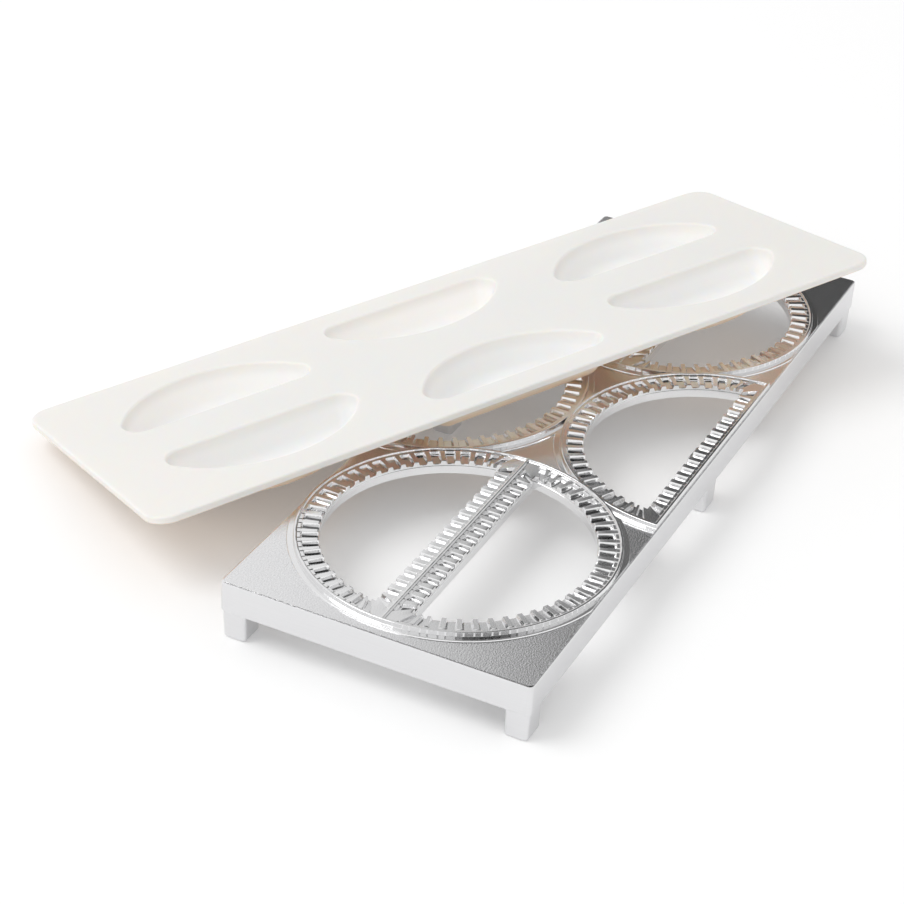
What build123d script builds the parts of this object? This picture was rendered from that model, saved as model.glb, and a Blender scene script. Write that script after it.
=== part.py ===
from build123d import *
from math import sqrt
import os

# Ravioli mold: a cast aluminium cutting frame with six fluted half-moon openings, and the moulded
# press tray that lies askew on it.
# Millimetres. X runs along the frame, Y across it, Z up, and the feet stand on Z = 0.

# Driving dimensions of the cutting frame
crest_radius = 58.6          # arc of each half moon, to the middle of its crest line
crest_width = 1.0
crest_height = 2.2           # over the flat plate
ring_merge = 0.5             # how far neighbouring rings run into each other
moon_gap = 0.2               # between the crest arcs of the two middle half moons
side_margin = 1.3            # crest line to the long edge of the plate
end_margin = 6.9             # crest line to the short edge of the plate
plate_top_height = 23.8      # from the table to the flat top of the plate
plate_thickness = 4.4        # also the depth of the openings' walls under the flat plate
plate_corner_radius = 2.0
plate_edge_chamfer = 0.7
skirt_height = 12.4          # side wall, from the top of the plate down
skirt_wall = 3.0
leg_length = 11.5            # along X
leg_width = 9.8              # along Y
leg_inset = 0.4              # outer faces of a leg behind the skirt
leg_corner_radius = 1.6

# Driving dimensions of the margin inside each crest line
step_width = 3.0             # raised step outside the crest line, from its middle
step_height = 0.5
flute_height = 1.5           # tops of the flutes over the flat plate
flute_inset = 1.8            # crest line to the outer ends of the grooves
opening_inset = 8.6          # crest line to the opening, on the arc
bar_opening_inset = 7.2      # crest line to the opening, on the straight side
groove_width = 2.5
groove_start = 0.6           # depth of a groove at its outer end
groove_fall = 1.4            # how far its floor falls on its way to the opening
grooves_per_circle = 60
grooves_on_straight = 17
groove_pitch = 6.05          # on the straight side

# Driving dimensions of the press tray
tray_shorter = 1.0           # than the frame
tray_narrower = 0.4
tray_thickness = 3.0
tray_corner_radius = 9.2
tray_edge_chamfer = 0.8
pocket_depth = 15.5          # from the tray's top to the outside of the pocket's bottom
pocket_wall = 1.8
pocket_draft = 19.5          # degrees
pocket_arc_clearance = 2.4   # pocket to opening at the plate, on the arc
pocket_bar_clearance = 2.6   # pocket to opening at the plate, on the straight side
pocket_corner_radius = 7.5   # in plan, on the outside

# How the tray lies on the frame
tray_x = 16.3                # middle of the tray's top from the middle of the frame
tray_y = 58.3
tray_yaw = -30.8             # degrees
tray_pitch = -4.4
tray_roll = -9.4
tray_sink = 6.65             # how far its pockets hang below the flute tops, under its middle

# Sizes that follow
moon_line = crest_radius + moon_gap / 2
plate_width = 2 * (moon_line + side_margin)
ring_offset = sqrt((2 * crest_radius) ** 2 - moon_line ** 2) - ring_merge
plate_length = 2 * (ring_offset + crest_radius + end_margin)
opening_radius = crest_radius - opening_inset
flute_radius = crest_radius - flute_inset
MOONS = [(x, 0, side) for x in (-ring_offset, ring_offset) for side in (1, -1)]
MOONS += [(0, moon_line, -1), (0, -moon_line, 1)]


def half_moon(moon, radius, straight_inset):
    """Sketch of one half moon: a disc cut by a line straight_inset from its centre."""
    x, y, side = moon
    straight = Pos(x, y + side * (straight_inset + radius)) * Rectangle(4 * radius, 2 * radius)
    return Pos(x, y) * Circle(radius) & straight


def all_moons(radius, straight_inset):
    shape = Sketch()
    for moon in MOONS:
        shape += half_moon(moon, radius, straight_inset)
    return shape


def slab(shape, low, high):
    """Solid between two heights, both counted from the flat top of the plate."""
    return extrude(Pos(0, 0, plate_top_height + low) * shape, amount=high - low)


def leg(x, y):
    """One leg, its outer faces leg_inset behind the plate's outline at the point x, y."""
    side_x = (x > 0) - (x < 0)
    side_y = (y > 0) - (y < 0)
    outline = RectangleRounded(leg_length, leg_width, leg_corner_radius)
    post = extrude(outline, amount=plate_top_height - plate_thickness)
    return Pos(
        x - side_x * (leg_length / 2 + leg_inset), y - side_y * (leg_width / 2 + leg_inset)
    ) * post


def groove(outer_inset, inner_inset):
    """Space of one groove, along X from its outer end to past the opening's edge."""
    run_out = 1.0
    length = inner_inset - outer_inset
    shallow = flute_height - groove_start
    deep = shallow - groove_fall * (length + run_out) / length
    slope = Polyline(
        (0, shallow), (length + run_out, deep),
        (length + run_out, crest_height), (0, crest_height), close=True,
    )
    cut = extrude(Plane.XZ * make_face(slope), amount=groove_width / 2, both=True)
    return Pos(0, 0, plate_top_height) * cut


def grooves(moon):
    """The grooves round one half moon: radial on the arc, square to the line on the straight side."""
    x, y, side = moon
    radial = Rot(0, 0, 180) * groove(flute_inset, opening_inset)
    step = 360 / grooves_per_circle
    cuts = [
        Pos(x, y) * Rot(0, 0, side * i * step) * Pos(flute_radius, 0) * radial
        for i in range(1, grooves_per_circle // 2)
    ]
    across = groove(flute_inset, bar_opening_inset)
    for i in range(grooves_on_straight):
        along = (i - (grooves_on_straight - 1) / 2) * groove_pitch
        cuts.append(Pos(x + along, y + side * flute_inset) * Rot(0, 0, side * 90) * across)
    return cuts


def cutting_frame():
    plate = slab(RectangleRounded(plate_length, plate_width, plate_corner_radius), -skirt_height, 0)
    plate = chamfer(plate.faces().sort_by(Axis.Z)[-1].edges(), plate_edge_chamfer)
    inside = RectangleRounded(
        plate_length - 2 * skirt_wall, plate_width - 2 * skirt_wall, plate_corner_radius
    )
    body = plate - slab(inside, -skirt_height, -plate_thickness)
    for x in (-plate_length / 2, 0, plate_length / 2):
        for y in (-plate_width / 2, plate_width / 2):
            body += leg(x, y)

    half_crest = crest_width / 2
    step = all_moons(crest_radius + step_width, -step_width)
    top = Rectangle(plate_length - 2 * plate_edge_chamfer, plate_width - 2 * plate_edge_chamfer)
    body += slab(step & top, -plate_thickness / 2, step_height)
    inner = all_moons(crest_radius - half_crest, half_crest)
    crest = all_moons(crest_radius + half_crest, -half_crest) - inner
    body += slab(crest, -plate_thickness / 2, crest_height)
    body += slab(inner, -plate_thickness / 2, flute_height)

    body -= [cut for moon in MOONS for cut in grooves(moon)]
    opening = all_moons(opening_radius, bar_opening_inset)
    body -= slab(opening, -skirt_height, crest_height)
    return body


def pocket(moon, inner):
    """Outside or inside of one tray pocket, under the tray's top face at Z = 0."""
    x, y, side = moon
    radius = opening_radius - pocket_arc_clearance
    outline = half_moon((0, 0, -1), radius, bar_opening_inset + pocket_bar_clearance)
    outline = fillet(outline.vertices(), pocket_corner_radius)
    depth = pocket_depth
    if inner:
        outline = offset(outline, -pocket_wall)
        depth -= pocket_wall
    hollow = extrude(outline, amount=-depth, taper=pocket_draft)
    return Pos(x, y) * Rot(0, 0, 180 if side > 0 else 0) * hollow


def press_tray():
    length = plate_length - tray_shorter
    width = plate_width - tray_narrower
    sheet = extrude(RectangleRounded(length, width, tray_corner_radius), amount=-tray_thickness)
    sheet = chamfer(sheet.faces().sort_by(Axis.Z)[-1].edges(), tray_edge_chamfer)
    for moon in MOONS:
        sheet += pocket(moon, inner=False)
    for moon in MOONS:
        sheet -= pocket(moon, inner=True)
    return sheet


frame = cutting_frame()
tray = press_tray()
tray_height = plate_top_height + flute_height + pocket_depth - tray_sink
tilt = Rot(0, 0, tray_yaw) * Rot(0, tray_pitch, 0) * Rot(tray_roll, 0, 0)
tray = Pos(tray_x, tray_y, tray_height) * tilt * tray

# The origin is under the middle of the whole thing, on the table
whole = frame.bounding_box().add(tray.bounding_box())
to_origin = Pos(-whole.center().X, -whole.center().Y, -whole.min.Z)
os.makedirs("parts", exist_ok=True)
for name, solid in (("cutting_frame", frame), ("press_tray", tray)):
    export_step(to_origin * solid, f"parts/{name}.step")
    print(name, round(solid.volume), "cubic millimetres")
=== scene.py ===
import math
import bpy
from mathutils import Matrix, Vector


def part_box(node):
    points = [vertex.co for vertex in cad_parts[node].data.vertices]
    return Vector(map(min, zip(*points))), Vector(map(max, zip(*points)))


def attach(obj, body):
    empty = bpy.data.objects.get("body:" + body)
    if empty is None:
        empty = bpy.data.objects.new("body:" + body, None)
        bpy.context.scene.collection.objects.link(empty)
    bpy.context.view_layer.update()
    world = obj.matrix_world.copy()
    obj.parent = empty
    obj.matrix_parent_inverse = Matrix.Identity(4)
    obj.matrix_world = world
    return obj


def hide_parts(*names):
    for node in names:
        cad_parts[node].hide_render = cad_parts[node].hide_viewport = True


bl_info = {
    "name": "Ravioli Mold",
    "version": (1, 0, 0),
    "blender": (4, 5, 0),
    "location": "View3D > Sidebar > Ravioli Mold",
    "description": "Builds a fluted cutting frame and its press tray over the packed solids",
    "category": "Object",
}

import bmesh
import bpy
from mathutils import Color, Euler, Matrix, Vector

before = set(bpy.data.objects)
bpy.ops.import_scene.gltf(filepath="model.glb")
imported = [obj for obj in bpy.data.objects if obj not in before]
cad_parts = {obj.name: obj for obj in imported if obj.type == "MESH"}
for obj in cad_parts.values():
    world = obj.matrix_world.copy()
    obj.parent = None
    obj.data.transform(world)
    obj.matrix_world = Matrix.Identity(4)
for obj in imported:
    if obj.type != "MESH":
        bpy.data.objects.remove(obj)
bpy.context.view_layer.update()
FRAME_LOW, FRAME_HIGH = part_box("cutting_frame")
MM = 0.001
SMALL = 1e-6
LEVEL = 0.9  # a face counts as level when its normal's upright part is more than this


def middle_of_frame():
    """Middle of the plate's flat top, in the row frame."""
    crest = bpy.context.scene.mold_frame.crest_height
    middle = (FRAME_LOW + FRAME_HIGH) / 2
    return Vector((middle.x, middle.y, FRAME_HIGH.z - crest))


# ---- Sizes and colours that a user may change


def length(label, text, millimetres):
    return bpy.props.FloatProperty(
        name=label, description=text, default=millimetres * MM, unit="LENGTH", precision=5
    )


def colour(label, text, value):
    return bpy.props.FloatVectorProperty(
        name=label, description=text, default=value, subtype="COLOR", min=0, max=1
    )


class FrameSizes(bpy.types.PropertyGroup):
    crest_radius: length("Crest radius", "Arc of a half moon, to the middle of its crest", 58.6)
    crest_height: length("Crest height", "Top of the crest over the flat plate", 2.2)
    crest_gap: length("Crest gap", "Between the crests of the two middle half moons", 0.2)
    ring_merge: length("Ring merge", "How far neighbouring rings run together", 0.5)
    side_margin: length("Side margin", "Crest to the long edge", 1.3)
    end_margin: length("End margin", "Crest to the short edge", 6.9)
    plate_thickness: length("Plate thickness", "Thickness of the top plate", 4.4)
    skirt_height: length("Skirt height", "Side wall from the plate's top down", 12.4)
    skirt_wall: length("Skirt wall", "Thickness of the side wall", 3.0)
    corner_radius: length("Corner radius", "Upright corners of the plate", 2.0)
    edge_radius: length("Edge radius", "Upper edge of the plate", 0.7)
    leg_length: length("Leg length", "Leg along the frame", 11.5)
    leg_width: length("Leg width", "Leg across the frame", 9.8)
    leg_inset: length("Leg inset", "Leg behind the skirt", 0.4)
    opening_inset: length("Opening inset", "Crest to opening on the arc", 8.6)
    bar_inset: length("Bar inset", "Crest to opening on the straight side", 7.2)
    flute_inset: length("Flute inset", "Crest to the outer ends of the grooves", 1.8)
    flute_height: length("Flute height", "Lands between the grooves over the plate", 1.5)
    groove_start: length("Groove start", "Depth of a groove near its outer end", 1.3)
    groove_end: length("Groove end", "Depth of a groove at the opening", 1.45)
    groove_width: length("Groove width", "Across the mouth of a groove", 3.9)
    groove_pitch: length("Groove pitch", "Groove to groove on the straight side", 6.05)
    grooves_per_circle: bpy.props.IntProperty(
        name="Grooves per circle", description="Grooves round a whole ring", default=60
    )
    grooves_on_straight: bpy.props.IntProperty(
        name="Grooves on the straight", description="Grooves along a straight side", default=17
    )


class TraySizes(bpy.types.PropertyGroup):
    shorter: length("Shorter", "Tray shorter than the frame", 1.0)
    narrower: length("Narrower", "Tray narrower than the frame", 0.4)
    thickness: length("Thickness", "Tray sheet at its edge", 3.0)
    corner_radius: length("Corner radius", "Corners of the sheet", 9.2)
    pocket_depth: length("Pocket depth", "Top of the sheet to the pocket's inner floor", 13.7)
    pocket_wall: length("Pocket wall", "Thickness of a pocket", 1.8)
    pocket_radius: length("Pocket radius", "Arc of a pocket at its mouth", 45.8)
    pocket_line: length("Pocket line", "Straight side of a pocket from its arc's centre", 11.6)
    pocket_corner: length("Pocket corner", "Corners of a pocket's mouth", 8.0)
    pocket_draft: bpy.props.FloatProperty(
        name="Pocket draft", description="Lean of a pocket's wall", default=math.radians(19.5),
        subtype="ANGLE",
    )
    place: bpy.props.FloatVectorProperty(
        name="Place", description="Middle of the tray's top from the middle of the plate's top",
        default=(0.0163, 0.0583, 0.01035), subtype="TRANSLATION",
    )
    turn: bpy.props.FloatVectorProperty(
        name="Turn", description="How the tray leans: roll, pitch and yaw",
        default=(math.radians(-9.4), math.radians(-4.4), math.radians(-30.8)), subtype="EULER",
    )


class Finishes(bpy.types.PropertyGroup):
    cast: colour("Cast metal", "Flat top of the plate", (0.90, 0.90, 0.91))
    # Sides with brush streaks; their darker tone is partly painted shade, for the shaded floor
    # they reflect.
    brushed_and_painted_shade: colour("Brushed metal", "Sides and legs", (0.80, 0.80, 0.81))
    polished: colour("Polished metal", "Crests, flutes and walls", (0.86, 0.86, 0.865))
    plastic: colour("Plastic", "Press tray", (0.86, 0.845, 0.82))
    # Painted light: the pockets are painted paler than the sheet, against the shade that falls in
    # them.
    plastic_pocket_painted_light: colour(
        "Plastic in the pockets", "Thin walls that let light through", (0.95, 0.925, 0.90)
    )
    # Painted glow: warm light that passes through the tray, painted on its downward faces.
    plastic_under_painted_glow: colour("Plastic underneath", "Warm light through the tray", (0.84, 0.70, 0.57))
    floor: colour("Floor", "Studio floor", (0.96, 0.96, 0.96))


# ---- Modelling helpers

STRAIGHT = 0.01  # radians from a right angle up to which half a corner counts as straight
HOLE_STEPS = 96
POCKET_ARC_STEPS = 72
POCKET_CORNER_STEPS = 16
POCKET_LINE_STEPS = 24
SHEET_CORNER_STEPS = 14
END_MOONS = 4


def alone(piece):
    bpy.ops.object.select_all(action="DESELECT")
    piece.select_set(True)
    bpy.context.view_layer.objects.active = piece


class Editing:
    """Edit mode on one piece, where faces, edges and points are picked by their place."""

    def __init__(self, piece):
        self.piece = piece

    def __enter__(self):
        alone(self.piece)
        bpy.ops.object.mode_set(mode="EDIT")
        bpy.ops.mesh.select_all(action="DESELECT")
        return self

    def __exit__(self, *_):
        bpy.ops.object.mode_set(mode="OBJECT")

    def pick(self, kind, test):
        bpy.ops.mesh.select_mode(type=kind)
        bpy.ops.mesh.select_all(action="DESELECT")
        mesh = bmesh.from_edit_mesh(self.piece.data)
        mesh.normal_update()
        items = {"VERT": mesh.verts, "EDGE": mesh.edges, "FACE": mesh.faces}[kind]
        for item in items:
            if test(item):
                item.select_set(True)
        mesh.select_flush_mode()
        bmesh.update_edit_mesh(self.piece.data)


def block(name, low, high):
    """A cube primitive that spans two corners."""
    bpy.ops.object.select_all(action="DESELECT")
    low, high = Vector(low), Vector(high)
    bpy.ops.mesh.primitive_cube_add(size=1, location=(low + high) / 2)
    piece = bpy.context.object
    piece.name = name
    piece.scale = high - low
    bpy.ops.object.transform_apply(location=True, rotation=True, scale=True)
    return piece


def copy_at(piece, matrix):
    """A copy with its own mesh, put in its place."""
    twin = piece.copy()
    twin.data = piece.data.copy()
    twin.data.transform(matrix)
    bpy.context.scene.collection.objects.link(twin)
    return twin


def join(name, pieces):
    alone(pieces[0])
    for piece in pieces:
        piece.select_set(True)
    bpy.ops.object.join()
    whole = bpy.context.object
    whole.name = name
    whole.data.name = name
    return whole


def remove(piece):
    bpy.data.objects.remove(piece)


def finish(piece, material, body, node, angle):
    """Smooths a piece, gives it its material and puts it on its body in place of a CAD node.
    Edges sharper than the angle, in degrees, stay sharp."""
    alone(piece)
    bpy.ops.object.shade_smooth_by_angle(angle=math.radians(angle))
    even = piece.modifiers.new("even", "WEIGHTED_NORMAL")
    even.keep_sharp = True
    bpy.ops.object.modifier_apply(modifier=even.name)
    piece.data.materials.clear()
    piece.data.materials.append(material)
    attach(piece, body)
    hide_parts(node)


def loft(name, rings, closed=False, lid=False):
    """Faces between rings of equally many points. Closed joins the last ring to the first."""
    mesh = bpy.data.meshes.new(name)
    count = len(rings[0])
    points = [p for ring in rings for p in ring]
    faces = []
    for r in range(len(rings) if closed else len(rings) - 1):
        here, there = r * count, ((r + 1) % len(rings)) * count
        for i in range(count):
            j = (i + 1) % count
            faces.append((here + i, here + j, there + j, there + i))
    if lid:
        last = (len(rings) - 1) * count
        faces.append(tuple(range(last, last + count)))
    mesh.from_pydata(points, [], faces)
    piece = bpy.data.objects.new(name, mesh)
    bpy.context.scene.collection.objects.link(piece)
    with Editing(piece):
        bpy.ops.mesh.select_all(action="SELECT")
        bpy.ops.mesh.normals_make_consistent(inside=False)
    return piece


def fill_level(edit, level):
    """Fills the open outlines at one height with one sheet that keeps their holes."""
    edit.pick("EDGE", lambda e: e.is_boundary
              and all(abs(v.co.z - level) < SMALL for v in e.verts))
    bpy.ops.mesh.fill()


def faces_down(face):
    return face.normal.z < -LEVEL


def arc_points(centre, radius, start, end, steps):
    return [
        (centre[0] + radius * math.cos(a), centre[1] + radius * math.sin(a))
        for a in (start + (end - start) * i / steps for i in range(steps + 1))
    ]


def rounded_path(corners, radii, steps):
    """A line through corners, each rounded to its radius."""
    path = [Vector(corners[0])]
    for before, here, after, radius in zip(corners, corners[1:], corners[2:], radii):
        before, here, after = Vector(before), Vector(here), Vector(after)
        into, out = (before - here).normalized(), (after - here).normalized()
        half = into.angle(out) / 2
        if radius < SMALL or abs(half - math.pi / 2) < STRAIGHT:
            path.append(here)
            continue
        centre = here + (into + out).normalized() * radius / math.sin(half)
        first = here + into * radius / math.tan(half) - centre
        last = here + out * radius / math.tan(half) - centre
        sweep = first.angle_signed(last)
        path += [
            centre + Matrix.Rotation(-sweep * i / steps, 2) @ first for i in range(steps + 1)
        ]
    return path + [Vector(corners[-1])]


def half_moon_ring(radius, line, z):
    """Outline of a half moon with sharp corners: its arc, and the middle of its straight side."""
    corner = math.asin(line / radius)
    ring = arc_points((0, 0), radius, corner, math.pi - corner, HOLE_STEPS)
    return [(x, y, z) for x, y in ring + [(0, line)]]


def pocket_ring(radius, line, corner, z):
    """Outline of a half moon with rounded corners."""
    reach = math.sqrt((radius - corner) ** 2 - (line + corner) ** 2)
    tangent = math.atan2(line + corner, reach)
    left, right = (-reach, line + corner), (reach, line + corner)
    ring = arc_points((0, 0), radius, tangent, math.pi - tangent, POCKET_ARC_STEPS)
    ring += arc_points(left, corner, math.pi - tangent, math.pi * 1.5, POCKET_CORNER_STEPS)[1:]
    ring += [
        (-reach + 2 * reach * i / POCKET_LINE_STEPS, line) for i in range(1, POCKET_LINE_STEPS)
    ]
    ring += arc_points(right, corner, -math.pi / 2, tangent, POCKET_CORNER_STEPS)[:-1]
    return [(x, y, z) for x, y in ring]


def sheet_ring(length, width, radius, z, inset):
    """Outline of a rounded rectangle."""
    x, y, r = length / 2 - inset, width / 2 - inset, radius - inset
    quarter = math.pi / 2
    ring = []
    for k, (sx, sy) in enumerate(((1, 1), (-1, 1), (-1, -1), (1, -1))):
        centre, start = (sx * (x - r), sy * (y - r)), k * quarter
        ring += arc_points(centre, r, start, start + quarter, SHEET_CORNER_STEPS)
    return [(px, py, z) for px, py in ring]


def moon_line(s):
    """From the middle line of the frame to the arc's centre of a middle half moon."""
    return s.crest_radius + s.crest_gap / 2


def ring_offset(s):
    """From the middle of the frame to the middle of an end circle."""
    return math.sqrt((2 * s.crest_radius) ** 2 - moon_line(s) ** 2) - s.ring_merge


def moon_places(s):
    """Where each half moon goes: a turn and a shift from the origin. The first END_MOONS are the
    halves of the end circles, which share a bar."""
    line, offset = moon_line(s), ring_offset(s)
    places = [
        (-offset, 0, False), (-offset, 0, True), (offset, 0, False), (offset, 0, True),
        (0, line, True), (0, -line, False),
    ]
    return [
        Matrix.Translation((x, y, 0)) @ Matrix.Rotation(math.pi if turned else 0, 4, "Z")
        for x, y, turned in places
    ]


def plate_size(s):
    """Length and width of the plate."""
    long = 2 * (ring_offset(s) + s.crest_radius + s.end_margin)
    return long, 2 * (moon_line(s) + s.side_margin)


def tray_turn(t):
    """How the tray leans, as one rotation."""
    turn = Euler((0, 0, t.turn[2])).to_matrix() @ Euler((0, t.turn[1], 0)).to_matrix()
    return turn @ Euler((t.turn[0], 0, 0)).to_matrix()


# ---- Shader helpers


class Socket:
    """A shader socket that takes part in sums."""

    def __init__(self, graph, socket):
        self.graph, self.socket = graph, socket

    def _math(self, operation, *values):
        return self.graph.node("ShaderNodeMath", {"operation": operation}, values)

    def __add__(self, other):
        return self._math("ADD", self, other)

    __radd__ = __add__

    def __sub__(self, other):
        return self._math("SUBTRACT", self, other)

    def __rsub__(self, other):
        return self._math("SUBTRACT", other, self)

    def __mul__(self, other):
        return self._math("MULTIPLY", self, other)

    __rmul__ = __mul__


class Graph:
    """The nodes of one material or world."""

    def __init__(self, owner):
        owner.use_nodes = True
        self.tree = owner.node_tree
        self.tree.nodes.clear()

    def node(self, kind, settings=None, inputs=(), output=0):
        """One node: its settings first, then its sockets. Returns one of its outputs."""
        node = self.tree.nodes.new(kind)
        for name, value in (settings or {}).items():
            setattr(node, name, value)
        named = inputs.items() if isinstance(inputs, dict) else enumerate(inputs)
        for key, value in named:
            self.plug(node.inputs[key], value)
        return Socket(self, node.outputs[output]) if len(node.outputs) else None

    def plug(self, target, value):
        """Links a socket, or sets a constant on the socket itself."""
        if isinstance(value, Socket):
            self.tree.links.new(value.socket, target)
        elif isinstance(value, (tuple, list, Vector, Color)):
            value = tuple(value)
            target.default_value = value + (1,) * (len(target.default_value) - len(value))
        else:
            target.default_value = value

    def place(self, scale=(1, 1, 1)):
        """Object coordinates in millimetres, stretched by scale."""
        here = self.node("ShaderNodeTexCoord", output="Object")
        return self.node(
            "ShaderNodeVectorMath", {"operation": "MULTIPLY"}, (here, [v / MM for v in scale])
        )

    def noise(self, place, scale, detail, rough=0.5):
        """Noise between 0 and 1; the scale is in waves per millimetre."""
        return self.node(
            "ShaderNodeTexNoise", {"noise_dimensions": "3D"},
            {"Vector": place, "Scale": scale, "Detail": detail, "Roughness": rough},
        )

    def dot(self, place, way):
        return self.node(
            "ShaderNodeVectorMath", {"operation": "DOT_PRODUCT"}, (place, tuple(way)), output=1
        )

    def upright(self, way):
        """The upright part of a direction."""
        return self.node("ShaderNodeSeparateXYZ", {}, (way,), output=2)

    def ray(self, kind):
        """1 for rays of one kind, and 0 for the others."""
        return self.node("ShaderNodeLightPath", output=kind)

    def spread(self, value, low, high, to_low=0.0, to_high=1.0):
        """Maps low..high smoothly to to_low..to_high."""
        return self.node(
            "ShaderNodeMapRange", {"interpolation_type": "SMOOTHSTEP"},
            (value, low, high, to_low, to_high),
        )

    def mix(self, factor, a, b):
        """Colour a where the factor is 0, and b where it is 1."""
        return self.node(
            "ShaderNodeMix", {"data_type": "RGBA"},
            {0: factor, 6: a, 7: b}, output=2,
        )

    def bump(self, height, strength, distance):
        return self.node(
            "ShaderNodeBump", {}, {"Height": height, "Strength": strength, "Distance": distance}
        )

    def principled(self, sockets):
        shader = self.node("ShaderNodeBsdfPrincipled", {}, sockets)
        self.node("ShaderNodeOutputMaterial", {}, {"Surface": shader})


def darker(shade, share):
    return [c * share for c in shade]


def cast_metal(f):
    """Top of the plate with its cast grain, and sides with brush streaks, darker partly as painted
    shade for the shaded floor they reflect.
    """
    material = bpy.data.materials.new("cast_metal")
    g = Graph(material)
    up = g.upright(g.node("ShaderNodeNewGeometry", output="Normal"))
    top = g.spread(up, 0.6, 0.95)
    side = 1 - top
    place = g.place()
    cloud = g.noise(place, scale=0.045, detail=4)
    grain = g.noise(place, scale=1.6, detail=3, rough=0.6)
    speck = g.spread(grain, 0.35, 0.7)
    streak = g.noise(g.place((0.02, 0.02, 1.0)), scale=2.2, detail=4, rough=0.65)
    rough_top = 0.13 + 0.08 * speck + 0.05 * cloud
    rough_side = 0.32 + 0.14 * streak
    tone_top = g.mix(speck, darker(f.cast, 0.86), f.cast)
    # The sides' darker tone is partly painted shade, for the shaded floor that they reflect.
    tone_side = g.mix(streak, darker(f.brushed_and_painted_shade, 0.93), f.brushed_and_painted_shade)
    height = grain * top + streak * side * 0.6
    g.principled({
        "Base Color": g.mix(top, tone_side, tone_top),
        "Metallic": 1.0,
        "Roughness": rough_top * top + rough_side * side,
        "Normal": g.bump(height, strength=0.16, distance=0.3 * MM),
    })
    return material


def polished_metal(f):
    """Crests, flutes and the walls of the openings."""
    material = bpy.data.materials.new("polished_metal")
    g = Graph(material)
    place = g.place()
    cloud = g.noise(place, scale=0.12, detail=3)
    grain = g.noise(place, scale=1.9, detail=3, rough=0.55)
    g.principled({
        "Base Color": g.mix(grain, darker(f.polished, 0.92), f.polished),
        "Metallic": 1.0,
        "Roughness": 0.09 + 0.07 * grain + 0.05 * cloud,
        "Normal": g.bump(grain, strength=0.06, distance=0.2 * MM),
    })
    return material


def tray_plastic(f, t):
    """Satin moulded plastic with a very fine texture. Its downward faces get a painted glow, a
    warm colour for light coming through the plastic, and the pockets, told apart by their depth
    below the sheet's face, are painted paler with a faint glow, painted light against their shade."""
    material = bpy.data.materials.new("tray_plastic")
    g = Graph(material)
    place = g.place()
    fine = g.noise(place, scale=1.4, detail=2)
    cloud = g.noise(place, scale=0.03, detail=3)
    up = g.upright(g.node("ShaderNodeNewGeometry", output="Normal"))
    # Painted glow: downward faces take a warm colour for the light that comes through the plastic.
    painted_glow_under = g.spread(up, -0.5, 0.1, 1.0, 0.0)
    across = tray_turn(t) @ Vector((0, 0, 1))
    level = across.dot(middle_of_frame() + Vector(t.place)) / MM
    # Painted light: this mask makes the pockets paler and gives them a faint glow, against their
    # shade.
    pocket = g.spread(level - g.dot(place, across), 0.2, 6)
    tone = g.mix(cloud, darker(f.plastic, 0.985), f.plastic)
    tone = g.mix(pocket, tone, f.plastic_pocket_painted_light)
    g.principled({
        "Base Color": g.mix(painted_glow_under, tone, f.plastic_under_painted_glow),
        "Roughness": 0.42 + 0.06 * fine + 0.05 * cloud,
        "Normal": g.bump(fine, strength=0.05, distance=0.2 * MM),
        # Painted glow in the pockets, though they are no lamp.
        "Emission Color": g.mix(pocket, (0, 0, 0), (0.04, 0.035, 0.03)),
        "Emission Strength": 1.0,
        "Specular IOR Level": 0.4,
        "Subsurface Weight": 0.7,
        "Subsurface Radius": (1.0, 0.75, 0.55),
        "Subsurface Scale": 4 * MM,
    })
    return material


# ---- The pieces


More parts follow.
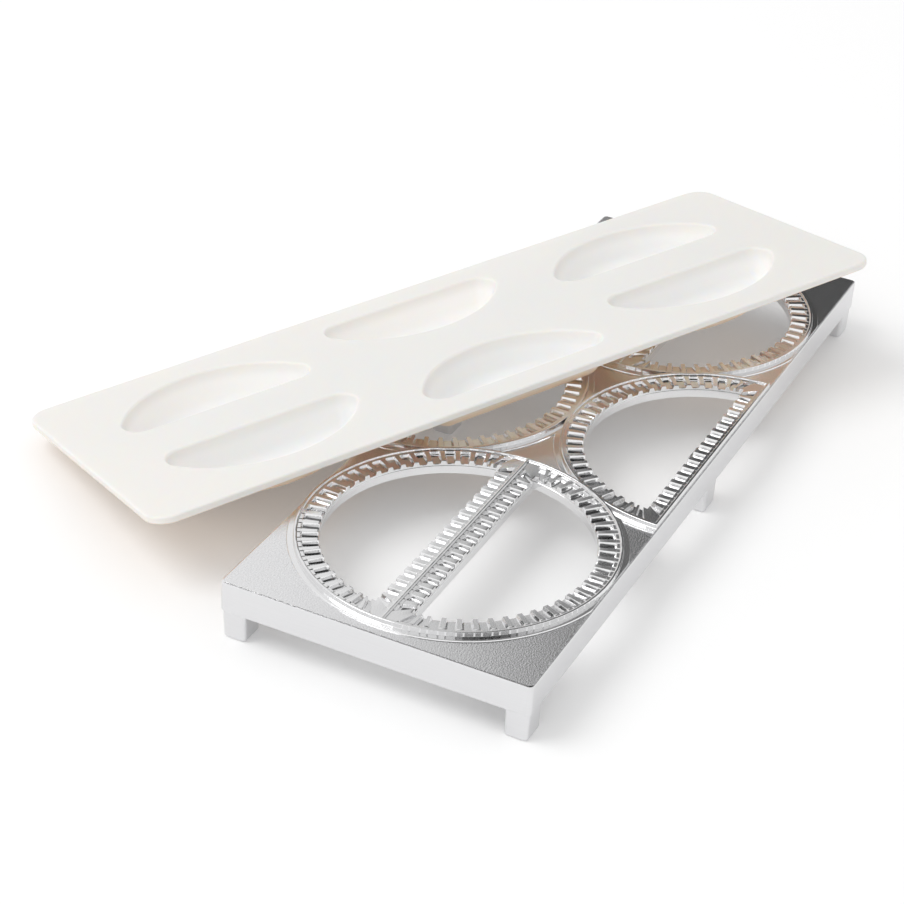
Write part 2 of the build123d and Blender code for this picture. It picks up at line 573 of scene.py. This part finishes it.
class MOLD_OT_plate(bpy.types.Operator):
    """Plate with its skirt, holes and legs"""

    bl_idname = "mold.plate"
    bl_label = "Plate, skirt and legs"

    SMOOTH_UP_TO = 16  # degrees
    FOOT_SHARE = 0.92  # width of a leg at its foot, over its width at the top
    LEG_ROUNDING = 1.6 * MM
    FOOT_ROUNDING = 1.0 * MM
    SKIRT_ROUNDING = 0.5 * MM
    HOLE_INSET = 1.2 * MM  # from the crest line to the hole, which the margin's seat covers
    UPRIGHT = 1 * MM  # an edge that rises more than this is an upright corner
    ROUND, SHARP = 6, 2  # steps of a wide rounding, and of one that should shade crisply
    FLAT_FACE_POINTS = 20  # only the plate's two flat faces have more

    def leg(self, s, drop):
        """One leg, its outer corner at the origin, tapered and rounded at the foot."""
        leg = block("leg", (0, 0, -drop), (s.leg_length, s.leg_width, -s.plate_thickness / 2))
        middle = (s.leg_length / 2, s.leg_width / 2, 0)
        with Editing(leg) as edit:
            edit.pick("FACE", faces_down)
            bpy.ops.transform.resize(
                value=(self.FOOT_SHARE, self.FOOT_SHARE, 1), center_override=middle
            )
            edit.pick("EDGE", self.upright)
            bpy.ops.mesh.bevel(offset=self.LEG_ROUNDING, segments=self.ROUND)
            edit.pick("EDGE", lambda e: max(v.co.z for v in e.verts) < -drop + SMALL)
            bpy.ops.mesh.bevel(offset=self.FOOT_ROUNDING, segments=self.ROUND)
        return leg

    def upright(self, edge):
        return abs(edge.verts[0].co.z - edge.verts[1].co.z) > self.UPRIGHT

    def box(self, s, long, wide):
        """The plate and its skirt, hollow underneath, without holes."""
        corner = Vector((long / 2, wide / 2, 0))
        plate = block("cast_plate", -corner - Vector((0, 0, s.skirt_height)), corner)
        with Editing(plate) as edit:
            edit.pick("EDGE", self.upright)
            bpy.ops.mesh.bevel(offset=s.corner_radius, segments=self.ROUND)
            edit.pick("EDGE", lambda e: min(v.co.z for v in e.verts) > -SMALL)
            bpy.ops.mesh.bevel(offset=s.edge_radius, segments=self.SHARP)
            edit.pick("FACE", faces_down)
            bpy.ops.mesh.inset(thickness=s.skirt_wall)
            bpy.ops.mesh.extrude_region_move(
                TRANSFORM_OT_translate={"value": (0, 0, s.skirt_height - s.plate_thickness)}
            )
            edit.pick("EDGE", lambda e: max(v.co.z for v in e.verts) < -s.skirt_height + SMALL
                      and len({faces_down(f) for f in e.link_faces}) == 2)
            bpy.ops.mesh.bevel(offset=self.SKIRT_ROUNDING, segments=self.SHARP)
        return plate

    def pierce(self, s, plate):
        """Six holes: their walls are joined in, and the flat faces filled again round them."""
        radius, line = s.crest_radius - self.HOLE_INSET, self.HOLE_INSET
        levels = (0, -s.plate_thickness)
        hole = loft("hole", [half_moon_ring(radius, line, level) for level in levels])
        plate = join("cast_plate", [plate] + [copy_at(hole, place) for place in moon_places(s)])
        remove(hole)
        with Editing(plate) as edit:
            for level in levels:
                edit.pick("FACE", lambda f: abs(f.normal.z) > LEVEL
                          and len(f.verts) > self.FLAT_FACE_POINTS
                          and abs(f.verts[0].co.z - level) < SMALL)
                bpy.ops.mesh.delete(type="ONLY_FACE")
                fill_level(edit, level)
            bpy.ops.mesh.select_all(action="SELECT")
            bpy.ops.mesh.normals_make_consistent(inside=False)
        return plate

    def execute(self, context):
        s = context.scene.mold_frame
        long, wide = plate_size(s)
        drop = middle_of_frame().z
        plate = self.pierce(s, self.box(s, long, wide))
        leg = self.leg(s, drop)
        legs = []
        for side in (1, -1):
            for end in (-1, 0, 1):
                x = end * (long / 2 - s.leg_inset - s.leg_length / 2) - s.leg_length / 2
                y = side * (wide / 2 - s.leg_inset - s.leg_width / 2) - s.leg_width / 2
                legs.append(copy_at(leg, Matrix.Translation((x, y, 0))))
        remove(leg)
        plate = join("cast_plate", [plate, *legs])
        plate.data.transform(Matrix.Translation(middle_of_frame()))
        material = cast_metal(context.scene.mold_finish)
        finish(plate, material, "root", "cutting_frame", self.SMOOTH_UP_TO)
        return {"FINISHED"}


class MOLD_OT_margins(bpy.types.Operator):
    """Crest, fluted margin and wall round each opening"""

    bl_idname = "mold.margins"
    bl_label = "Fluted margins"

    SMOOTH_UP_TO = 28  # degrees

    # Across one groove: distance from its middle over half its width, and share of its depth
    GROOVE = ((-1.0, 0.0), (-0.97, 0.05), (-0.72, 0.95), (-0.66, 1.0),
              (0.66, 1.0), (0.72, 0.95), (0.97, 0.05), (1.0, 0.0))

    # Cross-section in millimetres: inset from the crest line, and height over the flat plate
    OUTER_END = -3.2
    OUTSIDE = ((OUTER_END, -0.3), (-3.0, 0.05), (-2.85, 0.5), (-0.62, 0.5), (-0.5, 2.2), (0, 2.2))
    OUTSIDE_RADII = (0.05, 0.15, 0.12, 0.22)
    INSIDE = ((0, 2.2), (0.5, 2.2), (0.66, 1.5), (1.8, 1.5))
    INSIDE_RADII = (0.22, 0.12)
    ROUND = 3  # steps of a rounding
    SEAT_INSET, SEAT_HEIGHT = 1.15, -0.9  # where it closes again, inside the plate

    # Along a groove: share of the way to the opening, how far the land has fallen, and the share
    # of the start's depth, or None where the depth runs evenly from start to end
    RIM = ((0.02, 0, 0.1), (0.06, 0, 0.85), (0.10, 0, 1.0), (0.5, 0, None), (0.9, 0, None),
           (0.955, 0.07, None), (0.975, 0.25, None), (0.978, 0.5, None))

    # Wall of the opening: set back from it, and height over the plate, then over its underside
    STEP = ((0.15, -0.75), (0.02, -0.85), (0, -1.05))
    LOWER_EDGE = ((0, 0.5), (0.15, 0.15), (0.5, 0))

    # On a shared bar the part outside the crest line is pressed against the bar's middle line
    SHARED_SLOPE, SHARED_GAP, SHARED_END = 0.002, 0.003, -0.01

    # Grooves are pressed together over so many pitches from a corner
    PRESSED_ON_ARC, PRESSED_ON_BAR = 2.5, 1.8
    STAGGER = 0.01 * MM  # rings that cross each other lie this much apart in height

    def rows(self, s, shared):
        """Cross-section: inset from the crest line on the arc and on the straight side, height,
        and the depth that the grooves reach there. On a shared bar it ends at the middle."""
        rows = []
        for d, z in rounded_path(self.OUTSIDE, self.OUTSIDE_RADII, self.ROUND)[:-1]:
            rows.append((d, self.SHARED_SLOPE * d - self.SHARED_GAP if shared else d, z, 0))
        inside = rounded_path(self.INSIDE, self.INSIDE_RADII, self.ROUND)
        rows += [(d, d, z, 0) for d, z in inside]
        first, arc, bar = (v / MM for v in (s.flute_inset, s.opening_inset, s.bar_inset))
        top, start, end = (v / MM for v in (s.flute_height, s.groove_start, s.groove_end))
        for along, fall, share in self.RIM:
            depth = start + (end - start) * along if share is None else start * share
            insets = [first + (last - first) * along for last in (arc, bar)]
            rows.append((*insets, top - fall, depth))
        deep = -s.plate_thickness / MM
        for back, z in self.STEP + tuple((back, deep + rise) for back, rise in self.LOWER_EDGE):
            rows.append((arc - back, bar - back, z, 0))
        seat, high, out = self.SEAT_INSET, self.SEAT_HEIGHT, self.OUTER_END
        rows += [(seat, seat, deep, 0), (seat, seat, high, 0),
                 (out, self.SHARED_END if shared else out, high, 0)]
        return [tuple(v * MM for v in row) for row in rows]

    def samples(self, s):
        """Where a ring has its points: angles on the arc and lengths on the straight side, each
        with the share of the groove's depth there."""
        step = 2 * math.pi / s.grooves_per_circle
        middle = s.crest_radius - (s.flute_inset + s.opening_inset) / 2
        half = s.groove_width / 2
        arc = [
            (i * step + across * half / middle, share)
            for i in range(1, s.grooves_per_circle // 2) for across, share in self.GROOVE
        ]
        last = (s.grooves_on_straight - 1) / 2
        straight = [
            ((last - i) * s.groove_pitch - across * half, share)
            for i in range(s.grooves_on_straight) for across, share in self.GROOVE
        ]
        return arc, straight

    def ring(self, s, row, samples):
        """One outline of the margin, its points pressed together towards the corners."""
        arc_inset, bar_inset, height, depth = row
        radius = s.crest_radius - arc_inset
        corner = math.asin(bar_inset / radius)
        reach = radius * math.cos(corner)
        soft = self.PRESSED_ON_ARC * 2 * math.pi / s.grooves_per_circle
        points = [(reach, bar_inset, height)]
        for angle, share in samples[0]:
            near = min(angle, math.pi - angle)
            if near < soft:
                near = corner + near * (soft - corner) / soft
            angle = near if angle < math.pi / 2 else math.pi - near
            z = height - share * depth
            points.append((radius * math.cos(angle), radius * math.sin(angle), z))
        points.append((-reach, bar_inset, height))
        full = (s.grooves_on_straight + 1) / 2 * s.groove_pitch
        soft = full - self.PRESSED_ON_BAR * s.groove_pitch
        for x, share in reversed(samples[1]):
            near = abs(x)
            if near > soft:
                near = soft + (near - soft) * (reach - soft) / (full - soft)
            points.append((math.copysign(near, x), bar_inset, height - share * depth))
        return points

    def execute(self, context):
        s = context.scene.mold_frame
        long, wide = plate_size(s)
        samples = self.samples(s)
        edge = wide / 2 - s.edge_radius
        margins = []
        for index, place in enumerate(moon_places(s)):
            rings = [self.ring(s, row, samples) for row in self.rows(s, index < END_MOONS)]
            ring = loft("margin", rings, closed=True)
            sink = Matrix.Translation((0, 0, -self.STAGGER * index))
            ring.data.transform(sink @ place)
            with Editing(ring) as edit:
                for side in (1, -1):  # what reaches past the plate's flat top is pressed flat
                    edit.pick("VERT", lambda v: v.co.y * side > edge)
                    bpy.ops.transform.resize(value=(1, 0, 1), center_override=(0, side * edge, 0))
            margins.append(ring)
        whole = join("fluted_margins", margins)
        whole.data.transform(Matrix.Translation(middle_of_frame()))
        material = polished_metal(context.scene.mold_finish)
        finish(whole, material, "root", "cutting_frame", self.SMOOTH_UP_TO)
        return {"FINISHED"}


class MOLD_OT_tray(bpy.types.Operator):
    """Press tray with its six dished pockets"""

    bl_idname = "mold.tray"
    bl_label = "Press tray"

    SMOOTH_UP_TO = 40  # degrees
    LIP = 3.0 * MM  # how far a pocket's mouth is rounded out into the sheet
    LIP_RADIUS = 1.3 * MM
    FLOOR = 8 * MM  # from a pocket's wall to where its floor is taken as flat
    FLOOR_RADIUS = 5.5 * MM
    LEAST_CORNER = 1.2 * MM
    EDGE = 2.0 * MM  # strip of the sheet that carries its rounded edges
    UPPER_RADIUS, LOWER_RADIUS = 0.8 * MM, 0.6 * MM
    POCKET_STEPS, EDGE_STEPS = 8, 5  # of a rounding

    def pocket(self, t, grow, top):
        """One skin of a pocket, grown outwards by the wall, from the sheet's face down."""
        deep = -t.pocket_depth - grow
        run = math.tan(t.pocket_draft)
        start = run * -top
        foot = run * -deep
        path = rounded_path(
            [(start - self.LIP, top), (start, top), (foot, deep), (foot + self.FLOOR, deep)],
            [self.LIP_RADIUS, self.FLOOR_RADIUS + grow], self.POCKET_STEPS,
        )
        rings = []
        for inset, z in path:
            corner = max(t.pocket_corner + grow - inset, self.LEAST_CORNER)
            radius, line = t.pocket_radius + grow - inset, t.pocket_line - grow + inset
            rings.append(pocket_ring(radius, line, corner, z))
        return loft("pocket", rings, lid=True)

    def execute(self, context):
        s, t = context.scene.mold_frame, context.scene.mold_tray
        long, wide = plate_size(s)
        long, wide = long - t.shorter, wide - t.narrower
        band = rounded_path(
            [(self.EDGE, 0), (0, 0), (0, -t.thickness), (self.EDGE, -t.thickness)],
            [self.UPPER_RADIUS, self.LOWER_RADIUS], self.EDGE_STEPS,
        )
        rings = [sheet_ring(long, wide, t.corner_radius, z, inset) for inset, z in band]
        skins = [loft("band", rings)]
        inside = self.pocket(t, 0.0, 0.0)
        outside = self.pocket(t, t.pocket_wall, -t.thickness)
        for place in moon_places(s):
            skins += [copy_at(inside, place), copy_at(outside, place)]
        remove(inside)
        remove(outside)
        tray = join("press_tray_moulded", skins)
        with Editing(tray) as edit:
            for level in (0, -t.thickness):
                fill_level(edit, level)
            bpy.ops.mesh.select_all(action="SELECT")
            bpy.ops.mesh.normals_make_consistent(inside=False)
        turn = tray_turn(t).to_4x4()
        tray.data.transform(Matrix.Translation(middle_of_frame() + Vector(t.place)) @ turn)
        material = tray_plastic(context.scene.mold_finish, t)
        finish(tray, material, "root", "press_tray", self.SMOOTH_UP_TO)
        return {"FINISHED"}


class MOLD_OT_studio(bpy.types.Operator):
    """Floor, lamps, world and camera"""

    bl_idname = "mold.studio"
    bl_label = "Studio"

    # The photograph's view, worked out from the middle of the plate: the way to the camera, the
    # point it looks at, and its distance, roll and lens
    VIEW = (-0.7665, -0.3600, 0.5318)
    TARGET = (-0.04994, 0.02842, 0)
    DISTANCE = 0.8938
    ROLL = math.radians(3.086)
    LENS, SENSOR = 93.87, 36
    CLIP = (0.01, 20)

    LAMP_PLACE, LAMP_SIZE, LAMP_WATTS = (-1.1, 1.5, 2.6), 2.0, 33
    FLOOR_SIZE = 6
    FLOOR_GLOW = (0.10, 0.10, 0.10)  # only for rays that show the background

    # The world: its strength as light, and what reflections see in it
    AMBIENT = 0.74
    LEFT, AHEAD = (-0.425, 0.905, 0), (0.905, 0.425, 0)
    DARKEST, LEFT_GLOW, RIGHT_GLOW, ZENITH_SHADE = 0.07, 0.88, 0.75, 0.85

    def camera(self, context):
        out = Vector(self.VIEW).normalized()
        target = middle_of_frame() + Vector(self.TARGET)
        right = (-out).cross(Vector((0, 0, 1))).normalized()
        up = right.cross(-out)
        x = right * math.cos(self.ROLL) + up * math.sin(self.ROLL)
        y = up * math.cos(self.ROLL) - right * math.sin(self.ROLL)
        data = bpy.data.cameras.new("camera")
        data.lens, data.sensor_width = self.LENS, self.SENSOR
        data.clip_start, data.clip_end = self.CLIP
        camera = bpy.data.objects.new("camera", data)
        context.scene.collection.objects.link(camera)
        place = Matrix((x, y, out)).transposed().to_4x4()
        place.translation = target + out * self.DISTANCE
        camera.matrix_world = place
        context.scene.camera = camera

    def lamp(self):
        """One broad soft lamp from behind on the left, aimed at the origin."""
        bpy.ops.object.light_add(type="AREA", location=self.LAMP_PLACE)
        lamp = bpy.context.object
        lamp.name = "key"
        lamp.data.shape, lamp.data.size, lamp.data.energy = "DISK", self.LAMP_SIZE, self.LAMP_WATTS
        lamp.rotation_euler = (-Vector(self.LAMP_PLACE)).to_track_quat("-Z", "Y").to_euler()

    def world(self, context):
        """White to the eye; reflections see a white horizon, dark overhead and to the right."""
        world = bpy.data.worlds.new("studio")
        context.scene.world = world
        g = Graph(world)
        way = g.node("ShaderNodeTexCoord", output="Generated")
        side, ahead, high = g.dot(way, self.LEFT), g.dot(way, self.AHEAD), g.upright(way)
        left = g.spread(side, -0.10, 0.06)
        right = g.spread(side, -0.62, -0.42, self.RIGHT_GLOW, 0.0)
        behind = g.spread(ahead, -0.1, 0.25, 1.0, 0.0) * g.spread(high, 0.28, 0.5, 1.0, 0.0)
        below = g.spread(high, -0.05, 0.02, 1.0, 0.0)
        zenith = g.spread(high, 0.78, 0.92)
        strong = behind + below - behind * below
        soft = self.LEFT_GLOW * left + right
        shade = (self.DARKEST + strong + soft * (1 - strong)) * (1 - self.ZENITH_SHADE * zenith)
        glossy = g.ray("Is Glossy Ray")
        strength = self.AMBIENT * (1 - glossy) + shade * glossy
        seen = g.ray("Is Camera Ray") + g.ray("Is Transmission Ray")
        strength = strength * (1 - seen) + seen
        back = g.node("ShaderNodeBackground", {}, {"Color": (1, 1, 1), "Strength": strength})
        g.node("ShaderNodeOutputWorld", {}, {"Surface": back})

    def floor(self, context):
        bpy.ops.object.select_all(action="DESELECT")
        bpy.ops.mesh.primitive_plane_add(size=self.FLOOR_SIZE, location=(0, 0, 0))
        floor = context.object
        floor.name = "floor"
        material = bpy.data.materials.new("studio_floor")
        g = Graph(material)
        cloud = g.noise(g.place(), scale=0.004, detail=2)
        pale = context.scene.mold_finish.floor
        seen = g.ray("Is Camera Ray") + g.ray("Is Glossy Ray") + g.ray("Is Transmission Ray")
        g.principled({
            "Base Color": g.mix(cloud, darker(pale, 0.995), pale),
            "Roughness": 0.8,
            "Specular IOR Level": 0.2,
            "Emission Color": g.mix(seen, (0, 0, 0), self.FLOOR_GLOW),
            "Emission Strength": 1.0,
        })
        floor.data.materials.append(material)

    def execute(self, context):
        context.scene.view_settings.view_transform = "Standard"
        self.floor(context)
        self.lamp()
        self.world(context)
        self.camera(context)
        return {"FINISHED"}


class MOLD_PT_panel(bpy.types.Panel):
    """Lists the pieces and their sizes"""

    bl_label = "Ravioli Mold"
    bl_space_type = "VIEW_3D"
    bl_region_type = "UI"
    bl_category = "Ravioli Mold"

    def draw(self, context):
        for operator in OPERATORS:
            self.layout.operator(operator.bl_idname)
        for key in GROUPS:
            group = getattr(context.scene, key)
            for name in group.__annotations__:
                self.layout.prop(group, name)


OPERATORS = (MOLD_OT_plate, MOLD_OT_margins, MOLD_OT_tray, MOLD_OT_studio)
CLASSES = (FrameSizes, TraySizes, Finishes, *OPERATORS, MOLD_PT_panel)
GROUPS = {"mold_frame": FrameSizes, "mold_tray": TraySizes, "mold_finish": Finishes}


def register():
    for item in CLASSES:
        bpy.utils.register_class(item)
    for name, group in GROUPS.items():
        setattr(bpy.types.Scene, name, bpy.props.PointerProperty(type=group))


def unregister():
    for name in GROUPS:
        delattr(bpy.types.Scene, name)
    for item in reversed(CLASSES):
        bpy.utils.unregister_class(item)


def main():
    register()
    bpy.ops.mold.studio()
    bpy.ops.mold.plate()
    bpy.ops.mold.margins()
    bpy.ops.mold.tray()


if __name__ == "__main__":
    main()
